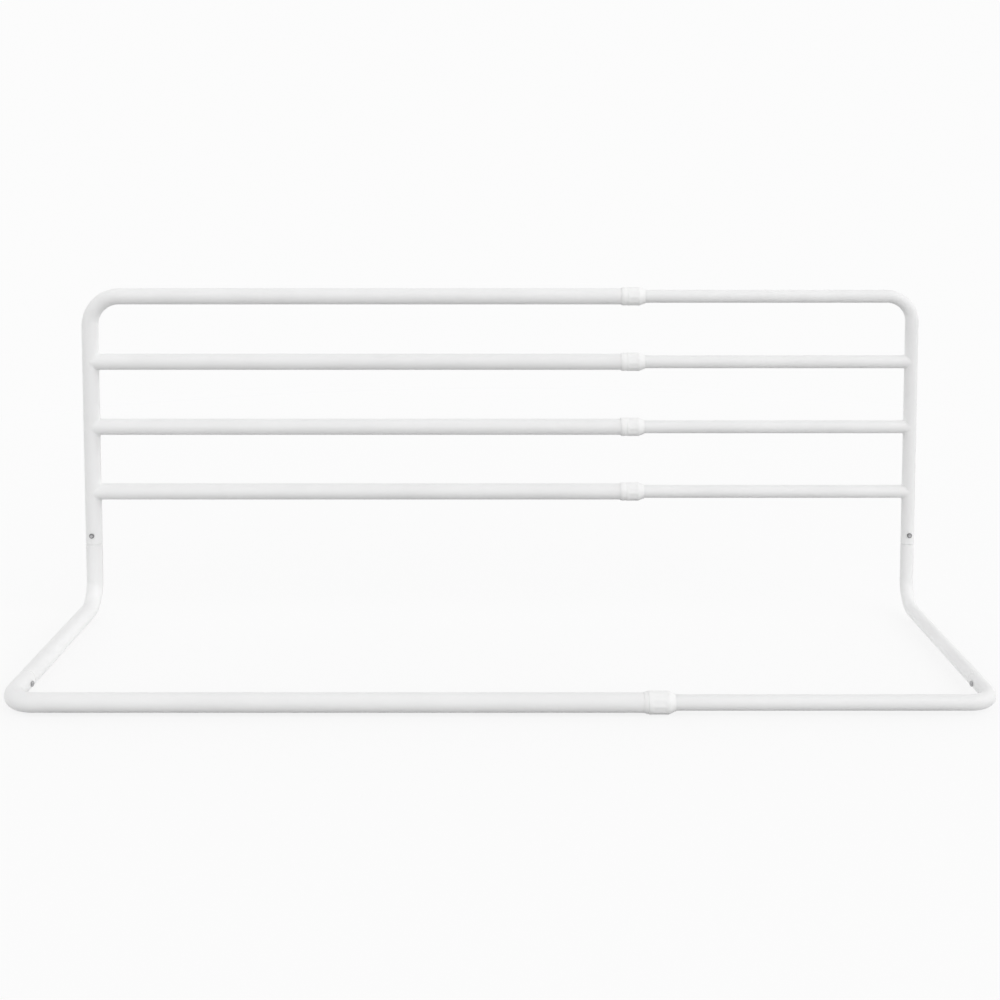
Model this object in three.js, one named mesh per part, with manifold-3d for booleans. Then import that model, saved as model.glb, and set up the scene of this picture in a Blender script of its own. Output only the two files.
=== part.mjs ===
// Extendable bed guard rail: four telescopic rails on two posts, standing on a base frame
// that runs forward under the mattress. Millimetres, +X right, +Y to the back, +Z up.
// The wide left half carries the slim right half, which slides in and out of it.

import * as THREE from 'three';
import { mergeVertices } from 'three/addons/utils/BufferGeometryUtils.js';
import Module from 'manifold-3d';

const wasm = await Module();
wasm.setup();

// Driving dimensions of the whole rail, at its rest setting
const overallWidth = 1270;
const frameDepth = 375;
const railPitch = 100;
const crossbarCount = 3;
const lowestRailRise = 175;

// Tube stock: the slim tubes run inside the wide ones
const wideTubeDiameter = 25;
const tubeWall = 1.2;
const telescopeGap = 1.3;
const runningGap = 0.3;
const wideTubeBore = wideTubeDiameter - 2 * tubeWall;
const slimTubeDiameter = wideTubeBore - 2 * telescopeGap;
const slimTubeBore = slimTubeDiameter - 2 * tubeWall;

// How far the rails reach, from the outside of their own post
const wideRailReach = 845;
const wideBaseReach = 816;
const slimRailReach = 835;

// Bends, to the tube's centreline
const wideTopBend = 44.5;
const slimTopBend = 38;
const elbowBend = 37;
const wideBaseBend = 36;
const slimBaseBend = 34;

// Slip joints: a leg tube is swaged at both ends and plugs into the tubes that it joins
const postSeamDrop = 80;
const legSeamSetback = 74;
const spigotLength = 30;
const swageLength = 1.2;
const edgeBreak = 0.3;
const postScrewRise = 14;
const legScrewReach = 14;

// Button head screw with a hexagon socket, and the nut welded inside the swaged end
const screwDiameter = 4;
const screwLength = 10;
const screwTip = 0.5;
const screwHeadDiameter = 7.6;
const screwHeadHeight = 2.2;
const screwHeadRim = 0.5;
const screwCrownDiameter = 4.4;
const socketAcrossFlats = 2.5;
const socketDepth = 1.3;
const nutAcrossFlats = 7;
const nutThickness = 3.2;

// Guide collar: a plastic mouth pushed over the end of each wide rail of the panel
const collarWall = 1.4;
const collarLength = 36;
const collarLipLength = 9.7;
const collarChamferLength = 8.5;
const collarMouthWall = 0.7;
const collarBeadRise = 0.6;
const collarBeadCrest = 3.6;
const collarGrooveSetback = 8;
const collarGrooveWidth = 1.4;
const collarGrooveDepth = 0.6;
const collarGripSetback = 11;
const collarGripLength = 15;
const collarGripDepth = 0.45;
const collarGripCount = 10;

// Lock sleeve: a bush in the mouth of the wide base rail, with collet fingers outside it
const flangeLength = 4.6;
const flangeLead = 0.2;
const flangeRise = 1.1;
const flangeConeLength = 3.4;
const skirtLength = 51;
const neckWall = 2.4;
const neckLength = 23;
const neckTaper = 0.9;
const neckTaperLength = 7;
const colletSlitWidth = 1.2;
const colletSlitLength = 13;
const colletSlitPairs = 3;
const snapRidgeSetback = 3;
const snapRidgeLength = 1.5;
const snapRidgeHeight = 0.7;

// Lock collar: turns on the sleeve's neck, and its inner cone closes the collet fingers
const lockCollarWall = 1.5;
const lockLipLength = 11.7;
const lockLipGap = 0.4;
const lockMouthWall = 0.5;
const lockConeLength = 9;
const lockRimBevel = 1;
const lockGripSetback = 4;
const lockGripLength = 19;
const lockGripDepth = 0.5;
const lockGripCount = 10;

// Guide plug in the hidden end of each slim rail
const plugHeadLength = 6;
const plugRound = 1;
const plugStemLength = 22;
const plugTaper = 0.8;
const plugWall = 2;

// Facets and cuts
const sectionSides = 20;
const bendSteps = 6;
const fastenerSides = 16;
const domeSteps = 3;
const hexagonSides = 6;
const cutOverrun = 2;

// A faceted round section turns flats to the axes, and this share of its radius lies at a flat
const flatShare = Math.cos(Math.PI / sectionSides);

// Sizes of the lock, from the tubes inwards and outwards
const sleeveBore = slimTubeDiameter + 2 * runningGap;
const neckDiameter = sleeveBore + 2 * neckWall;
const lockBore = neckDiameter + 2 * runningGap;
const lockCollarDiameter = lockBore + 2 * lockCollarWall;
const collarDiameter = wideTubeDiameter + 2 * (runningGap + collarWall);

// Places: the box stands on z = 0 and its middle is over the origin
const baseAxisZ = (lockCollarDiameter / 2) * flatShare;
const panelAxisY = (frameDepth + ((lockCollarDiameter - collarDiameter) / 2) * flatShare) / 2;
const postSeamRise = lowestRailRise - postSeamDrop;
const topRailRise = lowestRailRise + crossbarCount * railPitch;
const legSeamY = legSeamSetback - frameDepth;

// The two halves, each told from its own post towards the middle of the rail
const leftHalf = {
  side: 'left',
  inward: 1,
  diameter: wideTubeDiameter,
  railReach: wideRailReach,
  baseReach: wideBaseReach,
  topBend: wideTopBend,
  baseBend: wideBaseBend,
};
const rightHalf = {
  side: 'right',
  inward: -1,
  diameter: slimTubeDiameter,
  railReach: slimRailReach,
  baseReach: slimRailReach,
  topBend: slimTopBend,
  baseBend: slimBaseBend,
};

const whiteCoat = new THREE.MeshStandardMaterial({ color: 0xf2f3f2, roughness: 0.38, metalness: 0 });
const whitePlastic = new THREE.MeshStandardMaterial({ color: 0xf0f0ee, roughness: 0.55, metalness: 0 });
const zincSteel = new THREE.MeshStandardMaterial({ color: 0x8d9094, roughness: 0.32, metalness: 1 });

// Geometry helpers

function boreOf(diameter) {
  return diameter - 2 * tubeWall;
}

function flatRadius(diameter) {
  return (diameter / 2) * flatShare;
}

function solidOf(geometry) {
  const bare = geometry.clone();
  bare.deleteAttribute('normal');
  bare.deleteAttribute('uv');
  const merged = mergeVertices(bare);
  const vertProperties = new Float32Array(merged.attributes.position.array);
  const triVerts = new Uint32Array(merged.index.array);
  return new wasm.Manifold(new wasm.Mesh({ numProp: 3, vertProperties, triVerts }));
}

function geometryOf(solid) {
  const { vertProperties, triVerts } = solid.getMesh();
  const geometry = new THREE.BufferGeometry();
  geometry.setAttribute('position', new THREE.BufferAttribute(vertProperties, 3));
  geometry.setIndex(new THREE.BufferAttribute(triVerts, 1));
  geometry.computeVertexNormals();
  return geometry;
}

// Revolves a profile of [radius, place along the axis] points about +Y, flats facing the axes
function revolve(profile, sides = sectionSides) {
  const points = profile.map(([radius, along]) => new THREE.Vector2(radius, along));
  return new THREE.LatheGeometry(points, sides, Math.PI / sides);
}

// Lays a revolved shape along +X
function alongX(geometry) {
  return geometry.rotateZ(-Math.PI / 2);
}

// A round cutter from a point on an axis outwards in a direction
function radialDrill(diameter, reach, from, direction) {
  const drill = new THREE.CylinderGeometry(diameter / 2, diameter / 2, reach, fastenerSides);
  drill.translate(0, reach / 2, 0);
  const turn = new THREE.Quaternion().setFromUnitVectors(new THREE.Vector3(0, 1, 0), direction);
  drill.applyQuaternion(turn);
  drill.translate(from.x, from.y, from.z);
  return solidOf(drill);
}

// Flats for the fingers, cut round a revolved shape that lies along +X
function cutGripFlats(solid, diameter, depth, from, length, count) {
  const width = diameter * Math.sin(Math.PI / count);
  const height = depth + cutOverrun;
  let result = solid;
  for (let index = 0; index < count; index += 1) {
    const cutter = new THREE.BoxGeometry(length, width, height);
    cutter.translate(from + length / 2, 0, diameter / 2 - depth + height / 2);
    cutter.rotateX((2 * Math.PI * index) / count);
    result = result.subtract(solidOf(cutter));
  }
  return result;
}

// Tube forming

// A centreline of one straight run, one quarter bend and another straight run
function bentLine(start, heading, turnTo, lead, radius) {
  const sweep = (radius * Math.PI) / 2;
  const frameAt = (along) => {
    const angle = Math.min(Math.max((along - lead) / radius, 0), Math.PI / 2);
    const before = Math.min(along, lead);
    const after = Math.max(along - lead - sweep, 0);
    const point = start
      .clone()
      .addScaledVector(heading, before + radius * Math.sin(angle))
      .addScaledVector(turnTo, radius * (1 - Math.cos(angle)) + after);
    const tangent = heading.clone().multiplyScalar(Math.cos(angle));
    tangent.addScaledVector(turnTo, Math.sin(angle));
    const normal = turnTo.clone().multiplyScalar(Math.cos(angle));
    normal.addScaledVector(heading, -Math.sin(angle));
    return { point, normal, binormal: normal.clone().cross(tangent) };
  };
  const stations = [];
  for (let step = 0; step <= bendSteps; step += 1) {
    stations.push(lead + (sweep * step) / bendSteps);
  }
  return { frameAt, stations, sweep };
}

// Wall points of one tube end, from the body outwards: a plain cut end or a swaged spigot
function tubeEnd(diameter, seam, outward, swaged) {
  const radius = diameter / 2;
  const bore = boreOf(diameter) / 2;
  if (!swaged) {
    const outer = [
      [radius, seam - outward * edgeBreak],
      [radius - edgeBreak, seam],
    ];
    return { outer, inner: [[bore, seam]] };
  }
  const spigot = bore - runningGap;
  const shoulder = seam - outward * runningGap;
  const tip = seam + outward * spigotLength;
  const outer = [
    [radius, shoulder - outward * swageLength],
    [spigot, shoulder],
    [spigot, tip - outward * edgeBreak],
    [spigot - edgeBreak, tip],
  ];
  const inner = [
    [bore, shoulder - outward * swageLength],
    [spigot - tubeWall, shoulder],
    [spigot - tubeWall, tip],
  ];
  return { outer, inner };
}

// The closed wall profile of a tube along its developed length, with rings where it bends
function tubeProfile(diameter, length, stations, startSwaged = false, endSwaged = false) {
  const start = tubeEnd(diameter, 0, -1, startSwaged);
  const end = tubeEnd(diameter, length, 1, endSwaged);
  const outerRings = stations.map((along) => [diameter / 2, along]);
  const innerRings = stations.map((along) => [boreOf(diameter) / 2, along]);
  const outer = [...start.outer.reverse(), ...outerRings, ...end.outer];
  const inner = [...start.inner.reverse(), ...innerRings, ...end.inner];
  return [...outer, ...inner.reverse(), outer[0]];
}

// A straight tube bent to its centreline, the way a tube bender forms it
function bentTube(diameter, line, tail, startSwaged = false, endSwaged = false) {
  const lastStation = line.stations[line.stations.length - 1];
  const profile = tubeProfile(diameter, lastStation + tail, line.stations, startSwaged, endSwaged);
  const geometry = revolve(profile);
  const position = geometry.attributes.position;
  const vertex = new THREE.Vector3();
  for (let index = 0; index < position.count; index += 1) {
    vertex.fromBufferAttribute(position, index);
    const { point, normal, binormal } = line.frameAt(vertex.y);
    point.addScaledVector(normal, vertex.x).addScaledVector(binormal, vertex.z);
    position.setXYZ(index, point.x, point.y, point.z);
  }
  return solidOf(geometry);
}

// Where the screws go, in a half's own frame

function postScrewPlace() {
  const centre = new THREE.Vector3(0, 0, postSeamRise + postScrewRise);
  return { centre, direction: new THREE.Vector3(0, -1, 0) };
}

function legScrewPlace(half) {
  const centre = new THREE.Vector3(0, legSeamY - legScrewReach, 0);
  return { centre, direction: new THREE.Vector3(half.inward, 0, 0) };
}

function drillFor(half, place) {
  const reach = half.diameter / 2 + cutOverrun;
  return radialDrill(screwDiameter + 2 * runningGap, reach, place.centre, place.direction);
}

// Tubes of one half

function frameTube(half) {
  const towardPost = new THREE.Vector3(-half.inward, 0, 0);
  const down = new THREE.Vector3(0, 0, -1);
  const railEnd = half.railReach - flatRadius(half.diameter);
  const start = new THREE.Vector3(half.inward * railEnd, 0, topRailRise);
  const line = bentLine(start, towardPost, down, railEnd - half.topBend, half.topBend);
  const tail = topRailRise - half.topBend - postSeamRise;
  const tube = bentTube(half.diameter, line, tail);
  return geometryOf(tube.subtract(drillFor(half, postScrewPlace())));
}

function crossbar(half, rise) {
  const length = half.railReach - flatRadius(half.diameter);
  const bar = alongX(revolve(tubeProfile(half.diameter, length, [])));
  if (half.inward < 0) {
    bar.rotateZ(Math.PI);
  }
  bar.translate(0, 0, rise);
  const copeRadius = half.diameter / 2 + runningGap;
  const copeHeight = half.diameter + 2 * cutOverrun;
  const cope = new THREE.CylinderGeometry(copeRadius, copeRadius, copeHeight, sectionSides);
  cope.rotateY(Math.PI / sectionSides);
  cope.rotateX(Math.PI / 2);
  cope.translate(0, 0, rise);
  return geometryOf(solidOf(bar).subtract(solidOf(cope)));
}

function legTube(half) {
  const down = new THREE.Vector3(0, 0, -1);
  const forward = new THREE.Vector3(0, -1, 0);
  const start = new THREE.Vector3(0, 0, postSeamRise);
  const line = bentLine(start, down, forward, postSeamRise - elbowBend, elbowBend);
  const tail = -legSeamY - elbowBend;
  const tube = bentTube(half.diameter, line, tail, true, true);
  const drilled = tube.subtract(drillFor(half, postScrewPlace()));
  return geometryOf(drilled.subtract(drillFor(half, legScrewPlace(half))));
}

function baseTube(half) {
  const forward = new THREE.Vector3(0, -1, 0);
  const inward = new THREE.Vector3(half.inward, 0, 0);
  const start = new THREE.Vector3(0, legSeamY, 0);
  const line = bentLine(start, forward, inward, legSeamSetback - half.baseBend, half.baseBend);
  const tail = half.baseReach - flatRadius(half.diameter) - half.baseBend;
  const tube = bentTube(half.diameter, line, tail);
  return geometryOf(tube.subtract(drillFor(half, legScrewPlace(half))));
}

// Fasteners, made along +Y from the underside of the head or the outer face of the nut

function buttonScrew() {
  const headRadius = screwHeadDiameter / 2;
  const shankRadius = screwDiameter / 2;
  const crownRadius = screwCrownDiameter / 2;
  const profile = [
    [0, -screwLength],
    [shankRadius - screwTip, -screwLength],
    [shankRadius, screwTip - screwLength],
    [shankRadius, 0],
    [headRadius, 0],
  ];
  for (let step = 0; step <= domeSteps; step += 1) {
    const angle = ((Math.PI / 2) * step) / domeSteps;
    const radius = crownRadius + (headRadius - crownRadius) * Math.cos(angle);
    profile.push([radius, screwHeadRim + (screwHeadHeight - screwHeadRim) * Math.sin(angle)]);
  }
  profile.push([0, screwHeadHeight]);
  const cornerRadius = socketAcrossFlats / 2 / Math.cos(Math.PI / hexagonSides);
  const socketHeight = socketDepth + cutOverrun;
  const socket = new THREE.CylinderGeometry(cornerRadius, cornerRadius, socketHeight, hexagonSides);
  socket.translate(0, screwHeadHeight - socketDepth + socketHeight / 2, 0);
  return geometryOf(solidOf(revolve(profile, fastenerSides)).subtract(solidOf(socket)));
}

function hexagonNut() {
  const cornerRadius = nutAcrossFlats / 2 / Math.cos(Math.PI / hexagonSides);
  const body = new THREE.CylinderGeometry(cornerRadius, cornerRadius, nutThickness, hexagonSides);
  body.translate(0, -nutThickness / 2, 0);
  const boreRadius = screwDiameter / 2 + runningGap;
  const boreHeight = nutThickness + 2 * cutOverrun;
  const bore = new THREE.CylinderGeometry(boreRadius, boreRadius, boreHeight, fastenerSides);
  bore.translate(0, -nutThickness / 2, 0);
  return geometryOf(solidOf(body).subtract(solidOf(bore)));
}

// The nut's corners meet the round bore of the swaged end before its face does
function nutSeat(half) {
  const bore = flatRadius(boreOf(boreOf(half.diameter) - 2 * runningGap));
  const corner = nutAcrossFlats / 2 / Math.cos(Math.PI / hexagonSides);
  return Math.sqrt(bore * bore - corner * corner) - runningGap;
}

function setFastener(name, geometry, place, distance) {
  const mesh = new THREE.Mesh(geometry, zincSteel);
  mesh.name = name;
  mesh.position.copy(place.centre).addScaledVector(place.direction, distance);
  mesh.quaternion.setFromUnitVectors(new THREE.Vector3(0, 1, 0), place.direction);
  return mesh;
}

function fasteners(half) {
  const headSeat = flatRadius(half.diameter) + runningGap;
  const postPlace = postScrewPlace();
  const legPlace = legScrewPlace(half);
  return [
    setFastener(`${half.side}_post_screw`, buttonScrew(), postPlace, headSeat),
    setFastener(`${half.side}_leg_screw`, buttonScrew(), legPlace, headSeat),
    setFastener(`${half.side}_post_nut`, hexagonNut(), postPlace, nutSeat(half)),
    setFastener(`${half.side}_leg_nut`, hexagonNut(), legPlace, nutSeat(half)),
  ];
}

// Plastic pieces, made along +X

function guideCollar() {
  const body = collarDiameter / 2;
  const counterbore = wideTubeDiameter / 2 + runningGap;
  const lipBore = sleeveBore / 2;
  const grooveEnd = collarGrooveSetback + collarGrooveWidth;
  const groove = body - collarGrooveDepth;
  const lipStart = collarLength - collarLipLength;
  const profile = [
    [body - collarBeadRise, 0],
    [body, collarBeadCrest],
    [groove, collarGrooveSetback],
    [groove, grooveEnd],
    [body, grooveEnd],
    [body, collarLength - collarChamferLength],
    [lipBore + collarMouthWall, collarLength],
    [lipBore, collarLength],
    [lipBore, lipStart],
    [counterbore, lipStart],
    [counterbore, 0],
    [body - collarBeadRise, 0],
  ];
  const solid = solidOf(alongX(revolve(profile)));
  return geometryOf(
    cutGripFlats(solid, collarDiameter, collarGripDepth, collarGripSetback, collarGripLength, collarGripCount),
  );
}

// The sleeve's flange face against the tube's end is its zero
function lockSleeve() {
  const bore = sleeveBore / 2;
  const skirt = wideTubeBore / 2 - runningGap;
  const tube = wideTubeDiameter / 2;
  const flange = tube + flangeRise;
  const neck = neckDiameter / 2;
  const neckEnd = flangeLength + neckLength;
  const ridgeStart = flangeLength + snapRidgeSetback;
  const ridgeEnd = ridgeStart + snapRidgeLength;
  const profile = [
    [bore, -skirtLength],
    [skirt, -skirtLength],
    [skirt, 0],
    [tube + flangeLead, 0],
    [flange, flangeConeLength],
    [flange, flangeLength],
    [neck, flangeLength],
    [neck, ridgeStart],
    [neck + snapRidgeHeight, ridgeStart],
    [neck + snapRidgeHeight, ridgeEnd],
    [neck, ridgeEnd],
    [neck, neckEnd - neckTaperLength],
    [neck - neckTaper, neckEnd],
    [bore, neckEnd],
    [bore, -skirtLength],
  ];
  let sleeve = solidOf(alongX(revolve(profile)));
  for (let index = 0; index < colletSlitPairs; index += 1) {
    const length = colletSlitLength + cutOverrun;
    const slit = new THREE.BoxGeometry(length, colletSlitWidth, neckDiameter + cutOverrun);
    slit.translate(neckEnd - colletSlitLength + length / 2, 0, 0);
    slit.rotateX((Math.PI * index) / colletSlitPairs);
    sleeve = sleeve.subtract(solidOf(slit));
  }
  return geometryOf(sleeve);
}

// The collar's rim beside the sleeve's flange is its zero
function lockCollar() {
  const body = lockCollarDiameter / 2;
  const bore = lockBore / 2;
  const lipBore = slimTubeDiameter / 2 + lockLipGap;
  const pocketEnd = neckLength;
  const coneStart = neckLength - neckTaperLength - runningGap;
  const grooveStart = snapRidgeSetback - 2 * runningGap;
  const grooveEnd = snapRidgeSetback + snapRidgeLength;
  const length = pocketEnd + lockLipLength;
  const profile = [
    [body - lockRimBevel, 0],
    [body, lockRimBevel],
    [body, length - lockConeLength],
    [lipBore + lockMouthWall, length],
    [lipBore, length],
    [lipBore, pocketEnd],
    [bore - neckTaper, pocketEnd],
    [bore, coneStart],
    [bore, grooveEnd],
    [bore + snapRidgeHeight, grooveEnd],
    [bore + snapRidgeHeight, grooveStart],
    [bore, grooveStart],
    [bore, 0],
    [body - lockRimBevel, 0],
  ];
  const solid = solidOf(alongX(revolve(profile)));
  return geometryOf(
    cutGripFlats(solid, lockCollarDiameter, lockGripDepth, lockGripSetback, lockGripLength, lockGripCount),
  );
}

// A cup-shaped stem in the slim tube, and a head that slides in the wide one
function guidePlug() {
  const head = wideTubeBore / 2 - runningGap;
  const stem = slimTubeBore / 2 - runningGap;
  const cavity = stem - plugWall;
  const profile = [
    [0, -plugHeadLength],
    [head - plugRound, -plugHeadLength],
    [head, plugRound - plugHeadLength],
    [head, 0],
    [stem, 0],
    [stem, plugStemLength - plugTaper],
    [stem - plugTaper, plugStemLength],
    [cavity, plugStemLength],
    [cavity, plugWall],
    [0, plugWall],
  ];
  return geometryOf(solidOf(alongX(revolve(profile))));
}

// Assembly

function addPiece(group, name, geometry, material, place = [0, 0, 0]) {
  const mesh = new THREE.Mesh(geometry, material);
  mesh.name = name;
  mesh.position.set(...place);
  group.add(mesh);
}

// The rails of the panel from the top one down
function railRises() {
  const rises = [];
  for (let index = 0; index <= crossbarCount; index += 1) {
    rises.push(topRailRise - index * railPitch);
  }
  return rises;
}

function makeHalf(half) {
  const group = new THREE.Group();
  const postX = half.inward * (flatRadius(half.diameter) - overallWidth / 2);
  group.position.set(postX, panelAxisY, baseAxisZ);
  addPiece(group, `${half.side}_frame_tube`, frameTube(half), whiteCoat);
  railRises().slice(1).forEach((rise, index) => {
    addPiece(group, `${half.side}_crossbar_${index + 1}`, crossbar(half, rise), whiteCoat);
  });
  addPiece(group, `${half.side}_leg_tube`, legTube(half), whiteCoat);
  addPiece(group, `${half.side}_base_tube`, baseTube(half), whiteCoat);
  group.add(...fasteners(half));
  return group;
}

function addCollars(group) {
  const railEnd = wideRailReach - flatRadius(wideTubeDiameter);
  const collarStart = railEnd + runningGap + collarLipLength - collarLength;
  railRises().forEach((rise, index) => {
    addPiece(group, `guide_collar_${index + 1}`, guideCollar(), whitePlastic, [collarStart, 0, rise]);
  });
  const sleeveStart = wideBaseReach - flatRadius(wideTubeDiameter) + runningGap;
  const lockStart = sleeveStart + flangeLength + runningGap;
  addPiece(group, 'base_lock_sleeve', lockSleeve(), whitePlastic, [sleeveStart, -frameDepth, 0]);
  addPiece(group, 'base_lock_collar', lockCollar(), whitePlastic, [lockStart, -frameDepth, 0]);
}

function addPlugs(group) {
  const hiddenEnd = flatRadius(slimTubeDiameter) - slimRailReach - runningGap;
  railRises().forEach((rise, index) => {
    addPiece(group, `guide_plug_${index + 1}`, guidePlug(), whitePlastic, [hiddenEnd, 0, rise]);
  });
  const basePlug = `guide_plug_${crossbarCount + 2}`;
  addPiece(group, basePlug, guidePlug(), whitePlastic, [hiddenEnd, -frameDepth, 0]);
}

const guardRail = new THREE.Group();
const left = makeHalf(leftHalf);
const right = makeHalf(rightHalf);
addCollars(left);
addPlugs(right);
guardRail.add(left, right);
guardRail.updateMatrixWorld(true);

export default guardRail;
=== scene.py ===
# %% [markdown]
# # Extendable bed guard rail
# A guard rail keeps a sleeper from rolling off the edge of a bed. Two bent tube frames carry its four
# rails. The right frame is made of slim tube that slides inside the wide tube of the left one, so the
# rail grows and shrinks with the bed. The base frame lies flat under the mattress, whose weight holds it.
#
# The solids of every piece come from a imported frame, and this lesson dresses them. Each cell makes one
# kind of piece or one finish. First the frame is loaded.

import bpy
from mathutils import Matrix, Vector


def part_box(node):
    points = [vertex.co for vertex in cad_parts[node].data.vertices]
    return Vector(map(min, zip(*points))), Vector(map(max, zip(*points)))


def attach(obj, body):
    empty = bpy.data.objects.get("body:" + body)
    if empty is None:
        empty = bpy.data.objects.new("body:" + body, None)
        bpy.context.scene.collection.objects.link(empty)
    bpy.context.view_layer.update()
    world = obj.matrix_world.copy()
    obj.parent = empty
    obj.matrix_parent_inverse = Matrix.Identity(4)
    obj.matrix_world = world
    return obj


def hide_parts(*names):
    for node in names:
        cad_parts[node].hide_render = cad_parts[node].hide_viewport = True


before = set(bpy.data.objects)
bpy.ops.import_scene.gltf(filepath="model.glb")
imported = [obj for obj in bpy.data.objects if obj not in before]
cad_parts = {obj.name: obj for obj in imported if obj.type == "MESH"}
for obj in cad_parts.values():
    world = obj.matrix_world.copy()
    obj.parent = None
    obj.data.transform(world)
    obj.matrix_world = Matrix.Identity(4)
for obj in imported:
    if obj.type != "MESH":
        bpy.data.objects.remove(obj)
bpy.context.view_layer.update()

# %% [markdown]
# ## Sizes
# A dressed piece has to sit exactly where its solid sits. Typing those places again would work until the
# frame changes, so they are measured from the boxes of the solids instead. Only what a box can't tell,
# such as a wall, a bend or a groove, is written as a number, in metres, where it is first needed.

# %% Sizes measured from the frame
import math

import bmesh
import bpy
from mathutils import Matrix, Vector


def middle_of(node):
    low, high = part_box(node)
    return (low + high) / 2


def round_radius(node):
    """The radius of a round piece that lies along X."""
    low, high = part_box(node)
    return (high.z - low.z) / 2


wide_radius = round_radius("left_crossbar_1")
slim_radius = round_radius("right_crossbar_1")

panel_y = middle_of("left_crossbar_1").y
front_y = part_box("left_base_tube")[0].y + wide_radius
base_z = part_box("left_base_tube")[0].z + wide_radius
left_post_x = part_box("left_frame_tube")[0].x + wide_radius
right_post_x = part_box("right_frame_tube")[1].x - slim_radius
post_seam_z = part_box("left_frame_tube")[0].z
leg_seam_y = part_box("left_base_tube")[1].y
top_rail_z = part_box("left_frame_tube")[1].z - wide_radius

print("tube radii in mm", round(1000 * wide_radius, 2), round(1000 * slim_radius, 2))
print("posts at", round(left_post_x, 4), round(right_post_x, 4), "panel at", round(panel_y, 4))

# %% [markdown]
# ## Camera
# The rail is seen square on from the mattress side, from a good way above it. A camera that looks level
# keeps upright posts upright, and a lens shift then lowers its view to the rail. A shift moves every other
# view too, so it is kept small, and a tilt of a few degrees does the rest.

# %% Camera
camera_distance = 2.005
camera_height = 0.681
camera_tilt = math.radians(3.87)
camera_lens = 47.834
camera_sensor_width = 36
camera_shift = -0.25


def add_object(name, data):
    """Puts new data into the scene as an object."""
    thing = bpy.data.objects.new(name, data)
    bpy.context.scene.collection.objects.link(thing)
    return thing


camera_data = bpy.data.cameras.new("camera")
camera_data.lens = camera_lens
camera_data.sensor_width = camera_sensor_width
camera_data.shift_y = camera_shift
camera = add_object("camera", camera_data)
camera.location = (0, panel_y - camera_distance, base_z + camera_height)
camera.rotation_euler = (math.pi / 2 - camera_tilt, 0, 0)
bpy.context.scene.camera = camera
print("camera at", [round(value, 3) for value in camera.location])

# %% [markdown]
# ## Mesh helpers
# Almost every piece here is round: a tube, a collar or a screw. Such a piece is an outline turned about
# an axis, or carried along a bent centreline. Blender's own Screw and Curve tools can do this, but rings
# of points joined by quads give full control of where the edge loops run, so smooth shading stays clean.
#
# No real edge is perfectly sharp. The outline helper rounds each corner with an arc and puts one more
# point on either side of it, which holds the shading of the long faces flat.

# %% Outlines with rounded corners
ARC_STEPS = 4
HOLD_SHARE = 0.6


def corner_arc(before, here, after, fillet):
    """The points of a rounded corner between its two neighbours, in the plane of the outline."""
    to_before = before - here
    to_after = after - here
    back_way = to_before.normalized()
    on_way = to_after.normalized()
    half_angle = to_before.angle(to_after) / 2
    reach = fillet / math.tan(half_angle)
    hold = reach * (1 + HOLD_SHARE)
    middle = here + (back_way + on_way).normalized() * fillet / math.sin(half_angle)
    first = here + back_way * reach - middle
    last = here + on_way * reach - middle
    turn = math.atan2(first.cross(last), first.dot(last))
    points = []
    if to_before.length > hold:
        points.append(here + back_way * hold)
    for step in range(ARC_STEPS + 1):
        points.append(middle + Matrix.Rotation(turn * step / ARC_STEPS, 2) @ first)
    if to_after.length > hold:
        points.append(here + on_way * hold)
    return points


def outline(corners):
    """Points (radius, along) from corners (radius, along, fillet). A fillet of zero stays a point."""
    points = []
    for index, (radius, along, fillet) in enumerate(corners):
        here = Vector((radius, along))
        if fillet:
            before = Vector(corners[index - 1][:2])
            after = Vector(corners[(index + 1) % len(corners)][:2])
            points.extend(corner_arc(before, here, after, fillet))
        else:
            points.append(here)
    return [(point.x, point.y) for point in points]


print("points of a rounded corner", ARC_STEPS + 3)

# %% [markdown]
# The skin helper joins the rings. Blender can turn the normals of a mesh to one side by itself, but on a
# thin wall it may pick the inside. The volume tells: it comes out negative when the normals point inward.

# %% Skins from rings of points
SMOOTH_LIMIT = math.radians(38)


def skin(name, rings, closed=True):
    """Joins rings of points into a mesh. A closed run is a wall with a hole, an open one is capped."""
    count = len(rings[0])
    points = [point for ring in rings for point in ring]
    spans = len(rings) if closed else len(rings) - 1
    faces = []
    for index in range(spans):
        near = index * count
        far = ((index + 1) % len(rings)) * count
        for side in range(count):
            following = (side + 1) % count
            faces.append((near + side, near + following, far + following, far + side))
    if not closed:
        faces.append(tuple(range(count)))
        faces.append(tuple(range(len(points) - count, len(points))))
    mesh = bpy.data.meshes.new(name)
    mesh.from_pydata(points, [], faces)
    shaped = bmesh.new()
    shaped.from_mesh(mesh)
    bmesh.ops.recalc_face_normals(shaped, faces=shaped.faces)
    if shaped.calc_volume(signed=True) < 0:
        bmesh.ops.reverse_faces(shaped, faces=shaped.faces)
    shaped.to_mesh(mesh)
    shaped.free()
    mesh.shade_smooth()
    mesh.set_sharp_from_angle(angle=SMOOTH_LIMIT)
    return mesh


print("edges stay smooth up to", round(math.degrees(SMOOTH_LIMIT)), "degrees")

# %% [markdown]
# ## Bent centrelines
# A tube bender feeds straight tube, turns it a quarter circle about a former and feeds it on. The
# centreline below does the same: a straight lead, an arc and a straight tail. It gives the middle of the
# tube at any developed length, and the two directions in which its section is drawn.

# %% Bent centreline
BEND_STEPS = 28


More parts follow.
